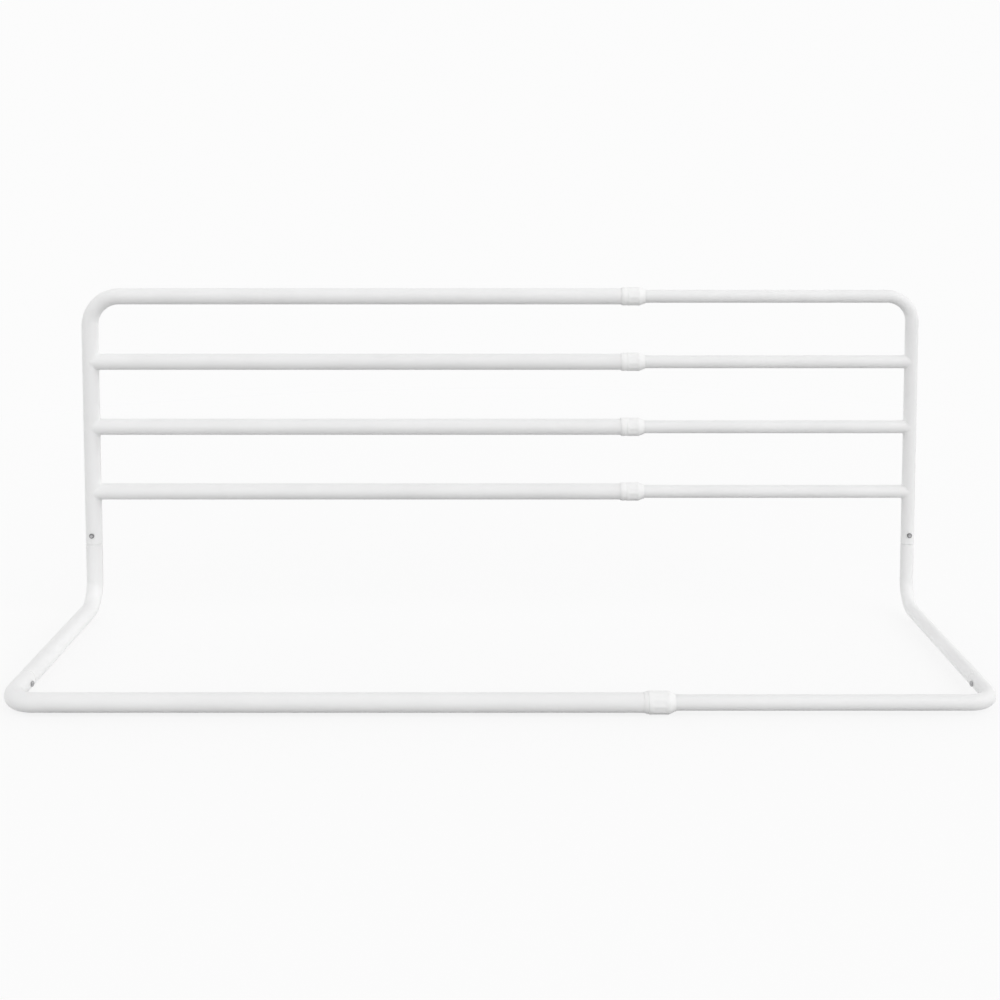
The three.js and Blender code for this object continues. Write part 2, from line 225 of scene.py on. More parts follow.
class BentLine:
    """A straight lead, a quarter bend and a straight tail."""

    def __init__(self, start, heading, turn_to, lead, radius):
        self.start = start
        self.heading = heading
        self.turn_to = turn_to
        self.lead = lead
        self.radius = radius
        self.sweep = radius * math.pi / 2
        self.stations = [lead + self.sweep * step / BEND_STEPS for step in range(BEND_STEPS + 1)]

    def section_at(self, along):
        """The centre, the direction to the inside of the bend and the sideways direction."""
        angle = min(max((along - self.lead) / self.radius, 0), math.pi / 2)
        before = min(along, self.lead)
        after = max(along - self.lead - self.sweep, 0)
        centre = self.start + self.heading * (before + self.radius * math.sin(angle))
        centre = centre + self.turn_to * (self.radius * (1 - math.cos(angle)) + after)
        tangent = self.heading * math.cos(angle) + self.turn_to * math.sin(angle)
        inner = self.turn_to * math.cos(angle) - self.heading * math.sin(angle)
        return centre, inner, inner.cross(tangent)

    def bend_share(self, along):
        """How deep in the bend a place lies: 0 on the straights, 1 in the middle of the arc."""
        share = min(max((along - self.lead) / self.sweep, 0), 1)
        return math.sqrt(math.sin(math.pi * share)) if 0 < share < 1 else 0


print("a bend has", BEND_STEPS, "steps")

# %% [markdown]
# An outline is carried along the line as one ring for each of its points. On the outside of a bend the
# wall is stretched and lies a little flatter than round. That shows in its highlight, so each ring is
# drawn flatter there by its place in the bend.

# %% Sweep along a centreline
ROUND_SIDES = 64
BEND_FLATTENING_SHARE = 0.035


def angles_round(count):
    """Angles that spread points evenly round a circle."""
    return [math.tau * step / count for step in range(count)]


def swept(points, line):
    """Rings of an outline that is carried along a bent line."""
    rings = []
    for radius, along in points:
        centre, inner, side_way = line.section_at(along)
        flattening = BEND_FLATTENING_SHARE * line.bend_share(along)
        ring = []
        for angle in angles_round(ROUND_SIDES):
            outer_share = max(-math.cos(angle), 0)
            reach = radius * (1 - flattening * outer_share ** 2)
            ring.append(centre + inner * reach * math.cos(angle) + side_way * reach * math.sin(angle))
        rings.append(ring)
    return rings


print("a swept ring has", ROUND_SIDES, "points")

# %% [markdown]
# The wall of a tube is a closed outline: out along the outside, round the end and back along the bore.
# Where two tubes meet, the end of one is pressed down in a die until it slips into the other. Such a
# swaged end has a short cone, and then a spigot that fits the next bore.

# %% Outline of a tube
EASED_EDGE = 0.0003
CRISP_EDGE = 0.0002
tube_wall = 0.0012
running_gap = 0.0003
seam_gap = 0.0001
swage_length = 0.0012
spigot_edge = 0.0004


def end_corners(radius, seam, outward, spigot_reach):
    """Outline corners of one end, from the outside to the bore. Only a swaged end has a spigot."""
    bore = radius - tube_wall
    if spigot_reach is None:
        return [(radius, seam, EASED_EDGE), (bore, seam, CRISP_EDGE)]
    spigot = bore - running_gap
    shoulder = seam - outward * seam_gap
    tip = seam + outward * spigot_reach
    return [
        (radius, shoulder - outward * swage_length, EASED_EDGE),
        (spigot, shoulder, spigot_edge),
        (spigot, tip, spigot_edge),
        (spigot - tube_wall, tip, CRISP_EDGE),
        (spigot - tube_wall, shoulder, 0),
        (bore, shoulder - outward * swage_length, 0),
    ]


def tube_corners(radius, length, stations, spigots):
    """Outline corners of a tube's wall, with a ring at every station of its bend."""
    start = end_corners(radius, 0, -1, spigots[0])
    end = end_corners(radius, length, 1, spigots[1])
    outside = [(radius, along, 0) for along in stations]
    inside = [(radius - tube_wall, along, 0) for along in reversed(stations)]
    return start[::-1] + outside + end + inside


spigot_radius = wide_radius - tube_wall - running_gap
print("spigot of the wide tube", round(1000 * 2 * spigot_radius, 2), "mm across")

# %% [markdown]
# ## Finishes
# Three finishes cover the whole rail: powder coat on steel, moulded plastic and zinc plate. All of them
# need the same two effects, relief and tone, so each effect is a node group with its own inputs.
#
# A node takes three steps: add it, set it up, and give each input a value or a link. The helper does all
# three, so that every node reads as one statement.

# %% Node helpers
def feed(tree, node, inputs):
    """Gives each input its value, or links it when another node's socket feeds it."""
    for label, source in inputs.items():
        if isinstance(source, bpy.types.NodeSocket):
            tree.links.new(source, node.inputs[label])
        else:
            node.inputs[label].default_value = source


def add_node(tree, kind, inputs, **settings):
    """Adds a shader node of a kind, sets it up and feeds its inputs, by name or by number."""
    node = tree.nodes.new("ShaderNode" + kind)
    for setting, value in settings.items():
        setattr(node, setting, value)
    feed(tree, node, inputs)
    return node


print("node helpers: feed and add_node")

# %% [markdown]
# Relief: a powder coat flows out in the oven and leaves a very fine orange peel, and a mould leaves an
# even grain. Both are noise, only at another size. Real displacement would need millions of faces for a
# grain that no outline shows, so a Bump node turns its height into light and shade instead.

# %% Relief group
GRAIN_DETAIL = 1.5
GRAIN_ROUGHNESS = 0.45


def new_group(name, inputs, outputs):
    """An empty node group, the sockets that bring its inputs, and its output node."""
    group = bpy.data.node_groups.new(name, "ShaderNodeTree")
    for in_out, sockets in (("INPUT", inputs), ("OUTPUT", outputs)):
        for label, kind in sockets.items():
            group.interface.new_socket(name=label, in_out=in_out, socket_type="NodeSocket" + kind)
    given = group.nodes.new("NodeGroupInput").outputs
    return group, given, group.nodes.new("NodeGroupOutput")


def build_relief_group():
    """Height of a grain of a given count per metre, part coarse and part fine."""
    group, given, result = new_group(
        "surface_relief",
        {"Vector": "Vector", "Coarse count": "Float", "Fine count": "Float", "Fine share": "Float"},
        {"Height": "Float"},
    )
    heights = []
    for label in ("Coarse count", "Fine count"):
        noise = add_node(group, "TexNoise", {
            "Vector": given["Vector"],
            "Scale": given[label],
            "Detail": GRAIN_DETAIL,
            "Roughness": GRAIN_ROUGHNESS,
        })
        heights.append(noise.outputs["Fac"])
    blend = add_node(group, "Mix", {"Factor": given["Fine share"], "A": heights[0], "B": heights[1]})
    feed(group, result, {"Height": blend.outputs["Result"]})
    return group


relief_group = build_relief_group()
print("node group", relief_group.name, "of", len(relief_group.nodes), "nodes")

# %% [markdown]
# Tone: no surface has one colour and one gloss all over. A slow, wide noise moves both by a few
# hundredths. One noise serves both, so a darker patch is also a duller one.

# %% Tone group
PATCH_DETAIL = 3.0
PATCH_LOW = 0.35
PATCH_HIGH = 0.65


def build_tone_group():
    """Moves a colour and a roughness slowly over the surface."""
    group, given, result = new_group(
        "surface_tone",
        {
            "Vector": "Vector",
            "Light colour": "Color",
            "Dark colour": "Color",
            "Least roughness": "Float",
            "Most roughness": "Float",
            "Patches per metre": "Float",
        },
        {"Color": "Color", "Roughness": "Float"},
    )
    patches = add_node(group, "TexNoise", {
        "Vector": given["Vector"],
        "Scale": given["Patches per metre"],
        "Detail": PATCH_DETAIL,
    })
    spread = add_node(group, "MapRange", {
        "Value": patches.outputs["Fac"],
        "From Min": PATCH_LOW,
        "From Max": PATCH_HIGH,
    }).outputs["Result"]
    colour = add_node(
        group, "Mix", {"Factor": spread, "A": given["Light colour"], "B": given["Dark colour"]},
        data_type="RGBA",
    )
    gloss = add_node(group, "MapRange", {
        "Value": spread,
        "To Min": given["Least roughness"],
        "To Max": given["Most roughness"],
    })
    feed(group, result, {"Color": colour.outputs["Result"], "Roughness": gloss.outputs["Result"]})
    return group


tone_group = build_tone_group()
print("node group", tone_group.name, "of", len(tone_group.nodes), "nodes")

# %% [markdown]
# ## White powder coat
# The tubes are steel, sprayed with white powder and baked. The coat is smooth and half glossy, with an
# orange peel of one to two millimetres that is only some hundredths of a millimetre deep. It is a plain
# dielectric, so it isn't metallic, and its white stays below pure so that highlights can still be seen.
#
# The material itself holds the shader. `surface` places both groups in a new material with the values of
# one finish, and the finishes only differ in those values. What is the same all over the surface, such
# as the metalness, is set on the shader's own socket.

# %% White powder coat
def surface(name, tone, relief, bump_height, metallic=0.0):
    """A material with the tone and the relief of one finish."""
    material = bpy.data.materials.new(name)
    material.use_nodes = True
    tree = material.node_tree
    place = tree.nodes.new("ShaderNodeTexCoord").outputs["Object"]
    toned = add_node(tree, "Group", {"Vector": place, **tone}, node_tree=tone_group)
    grained = add_node(tree, "Group", {"Vector": place, **relief}, node_tree=relief_group)
    bump = add_node(tree, "Bump", {"Height": grained.outputs["Height"], "Distance": bump_height})
    feed(tree, tree.nodes["Principled BSDF"], {
        "Base Color": toned.outputs["Color"],
        "Roughness": toned.outputs["Roughness"],
        "Normal": bump.outputs["Normal"],
        "Metallic": metallic,
    })
    return material


white_coat = surface(
    "white_coat",
    tone={
        "Light colour": (0.84, 0.84, 0.84, 1),
        "Dark colour": (0.816, 0.816, 0.816, 1),
        "Least roughness": 0.30,
        "Most roughness": 0.37,
        "Patches per metre": 11.0,
    },
    relief={"Coarse count": 420.0, "Fine count": 1900.0, "Fine share": 0.25},
    bump_height=0.00006,
)
print("finish", white_coat.name)

# %% [markdown]
# ## The two halves
# Both halves are built the same way, each from its own tube, so one loop makes both. A small record per
# half holds its tube, its post and the direction in which its rails run towards the other half.

# %% What differs between the halves
X_WAY = Vector((1, 0, 0))

halves = {
    "left": {
        "radius": wide_radius,
        "post_x": left_post_x,
        "inward": 1,
        "rail_end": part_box("left_frame_tube")[1].x,
        "base_end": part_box("left_base_tube")[1].x,
        "top_bend": 0.0445,
        "base_bend": 0.036,
    },
    "right": {
        "radius": slim_radius,
        "post_x": right_post_x,
        "inward": -1,
        "rail_end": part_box("right_frame_tube")[0].x,
        "base_end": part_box("right_base_tube")[0].x,
        "top_bend": 0.038,
        "base_bend": 0.034,
    },
}
for side_name, half in halves.items():
    half["body"] = side_name + "_half"
    half["inward_way"] = X_WAY * half["inward"]
    half["rail_length"] = abs(half["rail_end"] - half["post_x"])
    print(side_name, "rails reach", round(1000 * half["rail_length"]), "mm from the post's middle")

# %% [markdown]
# A dressed piece stands in for its solid and moves with the solid's body. One helper gives it that body,
# the finish and the nodes that the piece replaces, so none of them is forgotten. A second helper does so
# for a bent tube.

# %% Pieces and tubes
def dress(name, mesh, body, slot, finish, *nodes, place=None):
    """Puts a mesh into the scene as a piece that stands for CAD nodes and rides on their body."""
    piece = add_object(name, mesh)
    if place is not None:
        piece.matrix_world = place
    if not mesh.materials:
        mesh.materials.append(finish)
    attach(piece, body)
    if nodes:
        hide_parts(*nodes)
    return piece


def dress_tube(node, half, line, tail, spigots=(None, None)):
    """Sweeps a coated tube along a bent line that ends in a straight tail."""
    length = line.stations[-1] + tail
    corners = tube_corners(half["radius"], length, line.stations, spigots)
    mesh = skin(node, swept(outline(corners), line))
    dress(node + "_coated", mesh, half["body"], "white_coat", white_coat, node)
    print(node, "developed length", round(1000 * length), "mm")


print("piece helpers: dress and dress_tube")

# %% [markdown]
# ## Frame tubes
# The top rail and the upper post are one tube with a bend at the corner. A Curve with a bevel could give
# it, but not its wall or the flattening of the bend, so it is swept. Its lower end meets the leg at a slip
# joint, and both edges there are rounded, which leaves the fine groove that shows round each post.

# %% Frame tubes
Y_WAY = Vector((0, 1, 0))
Z_WAY = Vector((0, 0, 1))

for side_name, half in halves.items():
    bend = half["top_bend"]
    start = Vector((half["rail_end"], panel_y, top_rail_z))
    line = BentLine(start, -half["inward_way"], -Z_WAY, half["rail_length"] - bend, bend)
    dress_tube(side_name + "_frame_tube", half, line, top_rail_z - bend - post_seam_z)

# %% [markdown]
# ## Leg tubes
# A leg runs down from the post, turns forward through the elbow and lies on the slats. Both of its ends
# are swaged, with a spigot that slips into the next tube. The spigots are hidden once the rail is put
# together, but they are what the joint is, so they are made too.

# %% Leg tubes
elbow_bend = 0.037

for side_name, half in halves.items():
    node = side_name + "_leg_tube"
    low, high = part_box(node)
    start = Vector((half["post_x"], panel_y, post_seam_z))
    line = BentLine(start, -Z_WAY, -Y_WAY, post_seam_z - base_z - elbow_bend, elbow_bend)
    spigots = (high.z - post_seam_z, leg_seam_y - low.y)
    dress_tube(node, half, line, panel_y - elbow_bend - leg_seam_y, spigots)

# %% [markdown]
# ## Base tubes
# The front end of the base frame is a short run forward, one bend and the long front rail. It comes from
# the same bender as the other tubes, so the same helper makes it.

# %% Base tubes
for side_name, half in halves.items():
    bend = half["base_bend"]
    start = Vector((half["post_x"], leg_seam_y, base_z))
    line = BentLine(start, -Y_WAY, half["inward_way"], leg_seam_y - front_y - bend, bend)
    dress_tube(side_name + "_base_tube", half, line, abs(half["base_end"] - half["post_x"]) - bend)

# %% [markdown]
# ## Crossbars
# The three lower rails end on the post. A straight cut would leave gaps there, so the end is coped to a
# saddle that hugs the post. A Boolean could cut it, but the saddle has a formula: seen from above the
# post is a circle, and a point of the bar that lies s to the side of its axis meets the circle at the
# root of the post's radius squared less s squared. Moving the points of one ring there gives the true
# curve with no broken faces.

# %% Turned outlines and saddles
cope_gap = 0.0003


def turned(points, sides, shape=None):
    """Rings of an outline turned about X. shape can change a radius by its place and angle."""
    rings = []
    for radius, along in points:
        ring = []
        for angle in angles_round(sides):
            reach = shape(radius, along, angle) if shape else radius
            ring.append(Vector((along, reach * math.sin(angle), reach * math.cos(angle))))
        rings.append(ring)
    return rings


def saddle_ring(radius, post_radius, steps):
    """Points at which a round bar along X meets a round post that stands on the origin."""
    ring = []
    for angle in angles_round(steps):
        sideways = radius * math.sin(angle)
        forward = math.sqrt(post_radius ** 2 - sideways ** 2)
        ring.append(Vector((forward, sideways, radius * math.cos(angle))))
    return ring


reaches = [point.x for point in saddle_ring(wide_radius, wide_radius + cope_gap, ROUND_SIDES)]
print("saddle of a wide bar", round(1000 * (max(reaches) - min(reaches)), 1), "mm deep")

# %% [markdown]
# A bar is then that saddle, a turned outline and the saddle of its bore. Its post is bent from the same
# tube, so both have one radius, and the gap between them is for the weld.

# %% Crossbars with one coped end
straight_run_share = 1.35
bar_end_edge = 0.0005


def crossbar_rings(radius, length):
    """The wall of a bar along X whose post stands on the origin."""
    bore = radius - tube_wall
    straight = radius * straight_run_share
    corners = [
        (radius, straight, 0),
        (radius, length, bar_end_edge),
        (bore, length, CRISP_EDGE),
        (bore, straight, 0),
    ]
    coped_outside = saddle_ring(radius, radius + cope_gap, ROUND_SIDES)
    coped_bore = saddle_ring(bore, radius + cope_gap, ROUND_SIDES)
    return [coped_outside] + turned(outline(corners), ROUND_SIDES) + [coped_bore]


def move_to_post(mesh, node, half):
    """Moves a mesh from the origin to the end of its bar, turned the way that the bar runs."""
    turn = Matrix.Rotation(0 if half["inward"] > 0 else math.pi, 4, "Z")
    at_post = Matrix.Translation((half["post_x"], panel_y, middle_of(node).z))
    mesh.transform(at_post @ turn)


crossbars = {node: halves[node.split("_")[0]] for node in sorted(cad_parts) if "crossbar" in node}
for node, half in crossbars.items():
    mesh = skin(node, crossbar_rings(half["radius"], half["rail_length"]))
    move_to_post(mesh, node, half)
    dress(node + "_coated", mesh, half["body"], "white_coat", white_coat, node)
print("crossbars", len(crossbars))

# %% [markdown]
# ## Weld beads
# A coped bar is welded all round before it is coated. The bead is a low fillet with a ripple for each
# drop of metal, and the powder rounds it over. A bump in the coat could fake it, but the bead also shows
# in the outline of the corner, so it is a mesh. It follows the saddle curve: at each point the bead's
# section stands square to the curve, between the outward directions of the bar and of the post. At the
# flanks the two tubes run into each other, so the bead sinks in there.

# %% Weld beads
bead_radius = 0.0015
bead_sink_in_corner = 0.0006
bead_sink_on_flank = 0.00135
ripple_pitch = 0.0014
ripple_height = 0.00007
ripple_wander_count = 9
bead_steps = 260
bead_sides = 14


def bead_rings(radius):
    """Rings of a rippled bead that follows the saddle of a bar."""
    curve = saddle_ring(radius, radius + cope_gap, bead_steps)
    rings = []
    travelled = 0
    for step, angle in enumerate(angles_round(bead_steps)):
        point = curve[step]
        following = curve[(step + 1) % bead_steps]
        tangent = (following - curve[step - 1]).normalized()
        bar_outward = Vector((0, math.sin(angle), math.cos(angle)))
        post_outward = Vector((point.x, point.y, 0)).normalized()
        outward = (bar_outward + post_outward).normalized()
        across = tangent.cross(outward).normalized()
        flank_share = bar_outward.dot(post_outward)
        sink = bead_sink_in_corner + (bead_sink_on_flank - bead_sink_in_corner) * flank_share
        wander = math.sin(ripple_wander_count * angle)
        section = bead_radius + ripple_height * math.sin(math.tau * travelled / ripple_pitch + wander)
        centre = point - outward * sink
        rings.append([
            centre + outward * section * math.cos(turn) + across * section * math.sin(turn)
            for turn in angles_round(bead_sides)
        ])
        travelled += (following - point).length
    return rings


for node, half in crossbars.items():
    name = node.replace("crossbar", "weld_bead")
    mesh = skin(name, bead_rings(half["radius"]))
    move_to_post(mesh, node, half)
    dress(name, mesh, half["body"], "white_coat", white_coat)
print("weld beads", len(crossbars))

# %% [markdown]
# ## Zinc plate
# The screws are steel plated with zinc. Zinc is metallic, and its colour and gloss move more over a
# small head than those of the coat do over a tube. It is the same recipe with other values.

# %% Zinc plate
def zinc_plate(name):
    return surface(
        name,
        tone={
            "Light colour": (0.60, 0.60, 0.61, 1),
            "Dark colour": (0.5, 0.5, 0.51, 1),
            "Least roughness": 0.24,
            "Most roughness": 0.38,
            "Patches per metre": 700.0,
        },
        relief={"Coarse count": 1500.0, "Fine count": 7000.0, "Fine share": 0.4},
        bump_height=0.00002,
        metallic=1.0,
    )


zinc_steel = zinc_plate("zinc_steel")
print("finish", zinc_steel.name)

# %% [markdown]
# The plain zinc colour stays on the crown of a head, and round its rim the colour is darkened: a painted
# shade and dark reflection of the dome's edge. The screw lies along its own X axis, so the distance from
# that axis tells the two apart, and a Map Range node turns it into a soft ring. The screws of the posts
# have a much darker painted rim than those of the legs.

# %% Zinc plate with a painted dark rim
bright_radius = 0.0014
rim_shade_radius = 0.0029
# The shares of the plain colour that stay at the rim of a head, where shade is painted.
post_rim_shade_share = 0.42
leg_rim_shade_share = 0.8


def vector_result(tree, operation, *values):
    """The result of a Vector Math node, which is a plain value for a length."""
    node = add_node(tree, "VectorMath", dict(enumerate(values)), operation=operation)
    return node.outputs["Value" if operation == "LENGTH" else "Vector"]


def soft_step(tree, value, span, results):
    """Goes softly from the first result to the second while a value crosses a span."""
    step = add_node(tree, "MapRange", {"Value": value}, interpolation_type="SMOOTHSTEP")
    feed(tree, step, {"From Min": span[0], "From Max": span[1], "To Min": results[0], "To Max": results[1]})
    return step.outputs["Result"]


def zinc_with_painted_rim_shade(name, rim_share):
    """Zinc plate whose colour is darkened towards the rim of the head, a painted shade and dark reflection.
    """
    material = zinc_plate(name)
    tree = material.node_tree
    shader = tree.nodes["Principled BSDF"]
    plain_colour = shader.inputs["Base Color"].links[0].from_socket
    place = tree.nodes.new("ShaderNodeTexCoord").outputs["Object"]
    off_axis = vector_result(tree, "MULTIPLY", place, (0, 1, 1))
    distance = vector_result(tree, "LENGTH", off_axis)
    # Painted shade and dark reflection: the colour darkens softly from the crown out to the rim.
    ring = soft_step(tree, distance, (bright_radius, rim_shade_radius), (1, rim_share))
    painted_rim_shade = add_node(tree, "VectorMath", {0: plain_colour, "Scale": ring}, operation="SCALE")
    feed(tree, shader, {"Base Color": painted_rim_shade.outputs["Vector"]})
    return material


screw_finishes = {
    "post": zinc_with_painted_rim_shade("post_screw_zinc", post_rim_shade_share),
    "leg": zinc_with_painted_rim_shade("leg_screw_zinc", leg_rim_shade_share),
}
print("finishes", [finish.name for finish in screw_finishes.values()])

# %% [markdown]
# ## Button head screws
# One screw locks each slip joint. Its head is a low dome with a hexagon socket. The dome is an ellipse
# turned about the screw's axis. The socket keeps the same rings, but each point of them moves out to the
# side of a hexagon, so no face has to be cut.

# %% Hexagon of the socket
socket_sides = 6
socket_half_width = 0.00125


def off_side_middle(angle, sides):
    """How far an angle lies from the middle of the nearest side of a polygon."""
    sector = math.tau / sides
    return (angle + sector / 2) % sector - sector / 2


def hexagon_reach(half_width, along, angle):
    """The rule for a radius that turns a round ring into a hexagon."""
    return half_width / math.cos(off_side_middle(angle, socket_sides))


corner_reach = hexagon_reach(socket_half_width, 0, math.pi / socket_sides)
print("socket", 2000 * socket_half_width, "mm wide,", round(2000 * corner_reach, 2), "over its corners")

# %% [markdown]
# The rings of a screw run from its tip along the shank, under the head and up over the dome, and then
# down into the socket and the drill's mark on its floor. So one open run of rings makes the whole screw,
# and only its two ends are capped. The post and the leg screws differ in their finish alone.

# %% Screw mesh
screw_sides = 96
shank_radius = 0.002
screw_length = 0.010
screw_tip = 0.0005
head_radius = 0.0038
head_rim = 0.0005
head_height = 0.0022
crown_radius = 0.0022
dome_steps = 12
socket_depth = 0.0013
socket_lead = 0.00025
drill_point = 0.0005


def screw_rings():
    dome = []
    for step in range(dome_steps + 1):
        angle = math.pi / 2 * step / dome_steps
        radius = crown_radius + (head_radius - crown_radius) * math.cos(angle)
        dome.append((radius, head_rim + (head_height - head_rim) * math.sin(angle)))
    body = [
        (shank_radius - screw_tip, -screw_length),
        (shank_radius, screw_tip - screw_length),
        (shank_radius, 0),
        (head_radius - socket_lead, 0),
        (head_radius, socket_lead),
    ]
    socket_floor = head_height - socket_depth
    socket = [
        (socket_half_width + socket_lead, head_height),
        (socket_half_width, head_height - socket_lead),
        (socket_half_width, socket_floor),
    ]
    drilled = [
        (socket_half_width / 2, socket_floor - drill_point / 2),
        (screw_tip / 2, socket_floor - drill_point),
    ]
    outside = turned(body + dome, screw_sides)
    return outside + turned(socket, screw_sides, hexagon_reach) + turned(drilled, screw_sides)


screw_meshes = {part: skin(part + "_button_screw", screw_rings(), closed=False) for part in screw_finishes}
print("screw of", len(screw_meshes["post"].polygons), "faces")

# %% [markdown]
# The screw was modelled with its seat on the origin and its head towards X. The screws of the posts face
# the viewer, and those of the legs face each other. Each one is turned that way, and its head then ends
# where the head of its solid ends.

# %% Button head screws
for side_name, half in halves.items():
    for part, finish in screw_finishes.items():
        node = f"{side_name}_{part}_screw"
        low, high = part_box(node)
        seat = middle_of(node)
        if part == "post":
            outward = -Y_WAY
            seat.y = low.y + head_height
        else:
            outward = half["inward_way"]
            face_x = high.x if half["inward"] > 0 else low.x
            seat.x = face_x - half["inward"] * head_height
        place = Matrix.Translation(seat) @ outward.to_track_quat("X", "Z").to_matrix().to_4x4()
        dress(node + "_plated", screw_meshes[part], half["body"], "zinc_steel", finish, node, place=place)
        print(node, "seat at", [round(value, 4) for value in seat])

# %% [markdown]
# ## White moulded plastic
# The collars and the lock are moulded. Their tool was spark eroded, which leaves a fine even grain, so
# they are more matt than the tubes beside them. The grain is finer than the orange peel of the coat and
# half as deep, and it needs no new nodes, only other values.

# %% White moulded plastic
white_plastic = surface(
    "white_plastic",
    tone={
        "Light colour": (0.882, 0.882, 0.88, 1),
        "Dark colour": (0.866, 0.866, 0.864, 1),
        "Least roughness": 0.42,
        "Most roughness": 0.5,
        "Patches per metre": 60.0,
    },
    relief={"Coarse count": 2600.0, "Fine count": 6500.0, "Fine share": 0.5},
    bump_height=0.00003,
)
print("finish", white_plastic.name)

# %% [markdown]
# ## Guide collars
# A plastic collar closes the mouth of each wide rail and guides the slim one. From the left: a crowned
# bead, a valley, the body with flats for the fingers, and a long chamfer down to a thin lip on the slim
# tube.
#
# The flats come first. A Boolean with ten blocks could cut them, but it leaves long thin faces that shade
# badly. Here they are a rule for the radius instead: no point may stand further out than a flat does at
# its angle. Near the ends of the grip the flats fade out, as they do in a mould.

# %% Grip flats
FINE_SIDES = 120
GRIP_COUNT = 10
GRIP_RINGS = 22
GRIP_SOFTNESS = 0.0001
SAME_RADIUS = 0.000001


def grip_shape(body_radius, first, last, depth, fade):
    """A rule that cuts soft flats into the outside of a turned body, between two places."""

    def shape(radius, along, angle):
        if radius < body_radius - 2 * depth:
            return radius
        ramp = min(max(min(along - first, last - along) / fade, 0), 1)
        if ramp == 0:
            return radius
        ramp = ramp * ramp * (3 - 2 * ramp)
        flat = (body_radius - depth * ramp) / math.cos(off_side_middle(angle, GRIP_COUNT))
        soft = math.hypot(flat - radius, GRIP_SOFTNESS)
        return (flat + radius - soft) / 2

    return shape


def gripped(points, body_radius, first, last, depth, fade):
    """Turns a body, with more rings on its straight outside so that flats can be pressed into it."""
    dense = []
    for index, point in enumerate(points):
        dense.append(point)
        following = points[(index + 1) % len(points)]
        on_body = max(abs(point[0] - body_radius), abs(following[0] - body_radius)) < SAME_RADIUS
        if on_body and following[1] - point[1] > (last - first) / 2:
            for step in range(GRIP_RINGS + 1):
                dense.append((body_radius, first + (last - first) * step / GRIP_RINGS))
    return turned(dense, FINE_SIDES, grip_shape(body_radius, first, last, depth, fade))


print("grip of", GRIP_COUNT, "flats")

# %% [markdown]
# The outline then holds all the rest: the bead, the valley, the chamfer and the lip outside, and inside a
# counterbore for the wide tube and a bore that runs on the slim one. All four collars come from one mould,
# so they share one mesh.

# %% Guide collars
collar_radius = round_radius("guide_collar_1")
collar_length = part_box("guide_collar_1")[1].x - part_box("guide_collar_1")[0].x
bead_length = 0.008
bead_crest = 0.0036
bead_drop = 0.0006
bead_round = 0.006
valley_depth = 0.00042
valley_width = 0.0018
valley_round = 0.0012
valley_floor_round = 0.0006
chamfer_length = 0.0089
chamfer_round = 0.0014
lip_length = 0.0097
mouth_wall = 0.0007
mouth_length = 0.0009
mouth_round = 0.0006
grip_start = 0.011
grip_end = 0.026
grip_depth = 0.00042
grip_fade = 0.003


def guide_collar_mesh():
    counterbore = wide_radius + running_gap
    lip_bore = slim_radius + running_gap
    valley = collar_radius - valley_depth
    corners = [
        (collar_radius - bead_drop, 0, EASED_EDGE),
        (collar_radius, bead_crest, bead_round),
        (valley, bead_length, valley_round),
        (valley, bead_length + valley_width / 2, valley_floor_round),
        (collar_radius, bead_length + valley_width, valley_round),
        (collar_radius, collar_length - chamfer_length, chamfer_round),
        (lip_bore + mouth_wall, collar_length - mouth_length, mouth_round),
        (lip_bore + mouth_wall, collar_length, EASED_EDGE),
        (lip_bore, collar_length, EASED_EDGE),
        (lip_bore, collar_length - lip_length, 0),
        (counterbore, collar_length - lip_length, 0),
        (counterbore, 0, CRISP_EDGE),
    ]
    rings = gripped(outline(corners), collar_radius, grip_start, grip_end, grip_depth, grip_fade)
    return skin("guide_collar", rings)


collar_mesh = guide_collar_mesh()
collar_names = [name for name in sorted(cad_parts) if name.startswith("guide_collar")]
for node in collar_names:
    place = Matrix.Translation((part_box(node)[0].x, panel_y, middle_of(node).z))
    dress(node + "_moulded", collar_mesh, "left_half", "white_plastic", white_plastic, node, place=place)
print("guide collars", len(collar_names), "of", len(collar_mesh.polygons), "faces")

# %% [markdown]
# ## Twist lock
# The front rail has the only lock. A sleeve sits in the mouth of the wide tube, and its neck is slit into
# spring fingers round the slim tube. A collar turns on the neck and squeezes the fingers with an inner
# cone. A ridge round the neck snaps into a groove of the collar and holds it. Only the flange of the
# sleeve shows, but one turned outline gives the rest of it as well, so it is made whole.

# %% Lock sleeve
flange_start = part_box("left_base_tube")[1].x + seam_gap
flange_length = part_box("base_lock_collar")[0].x - seam_gap - flange_start
flange_lead = 0.0001
flange_lead_edge = 0.0001
flange_rise = 0.0014
flange_cone_length = 0.0041
flange_cone_round = 0.0008
flange_back_edge = 0.00015
skirt_edge = 0.0005
neck_wall = 0.0024
neck_taper = 0.0009
neck_taper_length = 0.007
neck_radius = slim_radius + running_gap + neck_wall
ridge_start = 0.003
ridge_length = 0.0015
ridge_height = 0.0007
sleeve_back, sleeve_tip = (corner.x - flange_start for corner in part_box("base_lock_sleeve"))


def lock_sleeve_mesh():
    bore = slim_radius + running_gap
    skirt = wide_radius - tube_wall - running_gap
    flange = wide_radius + flange_rise
    ridge = flange_length + ridge_start
    corners = [
        (bore, sleeve_back, EASED_EDGE),
        (skirt, sleeve_back, skirt_edge),
        (skirt, 0, 0),
        (wide_radius + flange_lead, 0, flange_lead_edge),
        (flange, flange_cone_length, flange_cone_round),
        (flange, flange_length, flange_back_edge),
        (neck_radius, flange_length, 0),
        (neck_radius, ridge, 0),
        (neck_radius + ridge_height, ridge, CRISP_EDGE),
        (neck_radius + ridge_height, ridge + ridge_length, CRISP_EDGE),
        (neck_radius, ridge + ridge_length, 0),
        (neck_radius, sleeve_tip - neck_taper_length, 0),
        (neck_radius - neck_taper, sleeve_tip, EASED_EDGE),
        (bore, sleeve_tip, EASED_EDGE),
    ]
    return skin("lock_sleeve", turned(outline(corners), FINE_SIDES))


